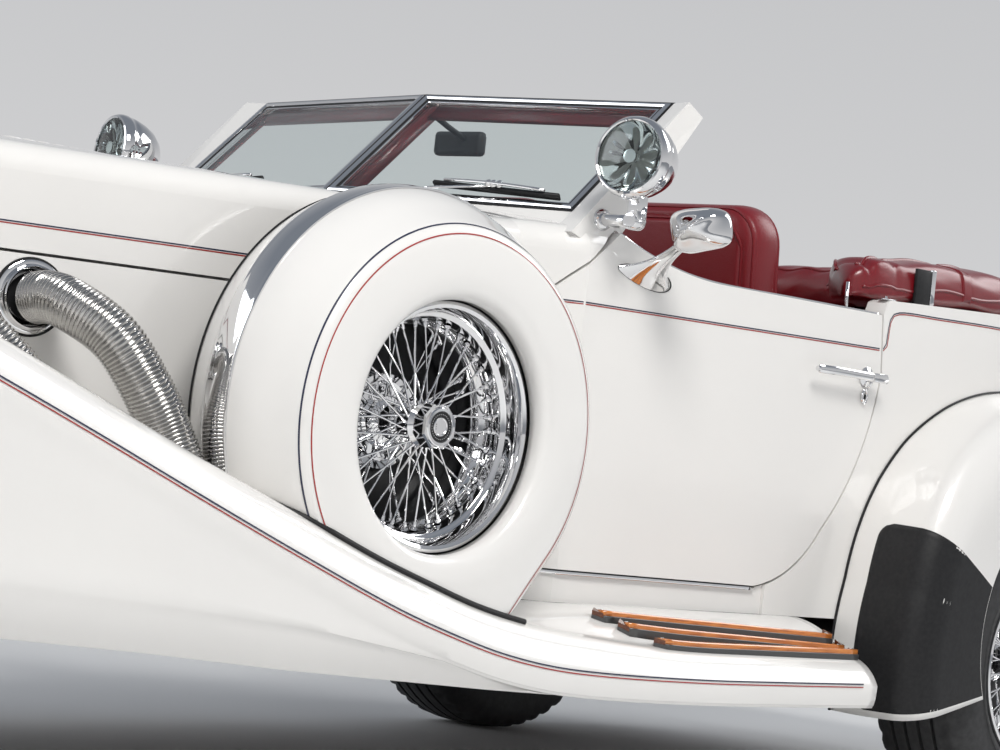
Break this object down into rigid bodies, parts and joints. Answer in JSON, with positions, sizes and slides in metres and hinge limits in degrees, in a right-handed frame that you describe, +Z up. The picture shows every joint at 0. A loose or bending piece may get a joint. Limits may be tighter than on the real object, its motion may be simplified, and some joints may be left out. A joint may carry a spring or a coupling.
{
  "type": "roadster convertible car",
  "caption": "Open roadster in a pre-war style: long bonnet, sweeping wings, covered side-mounted spare wheels, running boards, V-shaped windscreen, wire wheels.",
  "frame": {"origin": "on the ground, below the middle of the car's overall box", "axes": "+X forward, +Y to the car's left, +Z up"},
  "size_m": [5.1798, 1.81, 1.384],
  "materials": {
    "white_paint": "gloss",
    "chrome": "polished",
    "stainless": "satin",
    "chassis_black": "satin",
    "engine_iron": "rough",
    "tyre_rubber": "matte",
    "clear_glass": "clear",
    "varnished_wood": "varnished",
    "red_leather": "satin",
    "red_vinyl": "satin",
    "red_lens": "gloss",
    "dark_grip": "satin"
  },
  "bodies": {
    "root": {"frame_rails": "chassis_black", "frame_members": "chassis_black", "front_axle": "chassis_black", "rear_axle": "chassis_black", "engine_block": "engine_iron", "floor_pan": "chassis_black", "cowl": "white_paint", "body_rear": "white_paint", "sills": "white_paint", "bonnet_sides": "white_paint", "bonnet_spine": "chrome", "radiator_shell": "chrome", "grille_core": "chrome", "front_wings": "white_paint", "rear_wings": "white_paint", "spare_covers": "white_paint", "spare_bands": "stainless", "spare_wheels": "chrome", "spare_tyres": "tyre_rubber", "windscreen_frame": "chrome", "windscreen_glass": "clear_glass", "spot_lamps": "chrome", "headlamps": "chrome", "lamp_bar": "chrome", "front_bumper": "chrome", "rear_bumper": "chrome", "tail_lamps": "red_lens", "exhaust_hoses": "stainless", "step_strips": "varnished_wood", "seat_cushions": "red_leather", "seat_backs": "red_leather", "dashboard": "varnished_wood", "soft_top_stack": "red_vinyl"},
    "knuckle_left": {"knuckle_left": "chassis_black"},
    "wheel_front_left": {"wheel_front_left": "chrome", "tyre_front_left": "tyre_rubber"},
    "wheel_rear_left": {"wheel_rear_left": "chrome", "tyre_rear_left": "tyre_rubber"},
    "door_left": {"door_left": "white_paint", "door_left_fittings": "chrome"},
    "bonnet_left": {"bonnet_left": "white_paint"},
    "knuckle_right": {"knuckle_right": "chassis_black"},
    "wheel_front_right": {"wheel_front_right": "chrome", "tyre_front_right": "tyre_rubber"},
    "wheel_rear_right": {"wheel_rear_right": "chrome", "tyre_rear_right": "tyre_rubber"},
    "door_right": {"door_right": "white_paint", "door_right_fittings": "chrome"},
    "bonnet_right": {"bonnet_right": "white_paint"},
    "boot_lid": {"boot_lid": "white_paint"},
    "steering_wheel": {"steering_wheel": "dark_grip"}
  },
  "joints": [
    {"name": "steer_left", "type": "hinge", "parent": "root", "child": "knuckle_left", "pos_m": [1.791, 0.68, 0.352], "axis": [0, 0, 1], "range_deg": [-30, 30]},
    {"name": "steer_right", "type": "hinge", "parent": "root", "child": "knuckle_right", "pos_m": [1.791, -0.68, 0.352], "axis": [0, 0, 1], "range_deg": [-30, 30]},
    {"name": "spin_front_left", "type": "hinge", "parent": "knuckle_left", "child": "wheel_front_left", "pos_m": [1.791, 0.765, 0.352], "axis": [0, 1, 0], "continuous": true},
    {"name": "spin_rear_left", "type": "hinge", "parent": "root", "child": "wheel_rear_left", "pos_m": [-1.384, 0.765, 0.352], "axis": [0, 1, 0], "continuous": true},
    {"name": "spin_front_right", "type": "hinge", "parent": "knuckle_right", "child": "wheel_front_right", "pos_m": [1.791, -0.765, 0.352], "axis": [0, 1, 0], "continuous": true},
    {"name": "spin_rear_right", "type": "hinge", "parent": "root", "child": "wheel_rear_right", "pos_m": [-1.384, -0.765, 0.352], "axis": [0, 1, 0], "continuous": true},
    {"name": "door_left_swing", "type": "hinge", "parent": "root", "child": "door_left", "pos_m": [0.0445, 0.612, 0.75], "axis": [0, 0, -1], "range_deg": [0, 60]},
    {"name": "door_right_swing", "type": "hinge", "parent": "root", "child": "door_right", "pos_m": [0.0445, -0.612, 0.75], "axis": [0, 0, 1], "range_deg": [0, 60]},
    {"name": "bonnet_left_lift", "type": "hinge", "parent": "root", "child": "bonnet_left", "pos_m": [1.0775, 0.013, 1.127], "axis": [1, 0, 0], "range_deg": [0, 60]},
    {"name": "bonnet_right_lift", "type": "hinge", "parent": "root", "child": "bonnet_right", "pos_m": [1.0775, -0.013, 1.127], "axis": [-1, 0, 0], "range_deg": [0, 60]},
    {"name": "boot_lid_lift", "type": "hinge", "parent": "root", "child": "boot_lid", "pos_m": [-1.5975, 0, 1.0765], "axis": [0, 1, 0], "range_deg": [0, 60]},
    {"name": "steering_wheel_turn", "type": "hinge", "parent": "root", "child": "steering_wheel", "pos_m": [-0.3, 0.33, 0.985], "axis": [-0.8829, 0, 0.4695], "range_deg": [-450, 450]}
  ],
  "couplings": [
    {"joint": "steer_right", "follows": "steer_left", "ratio": 1},
    {"joint": "steering_wheel_turn", "follows": "steer_left", "ratio": 15}
  ]
}
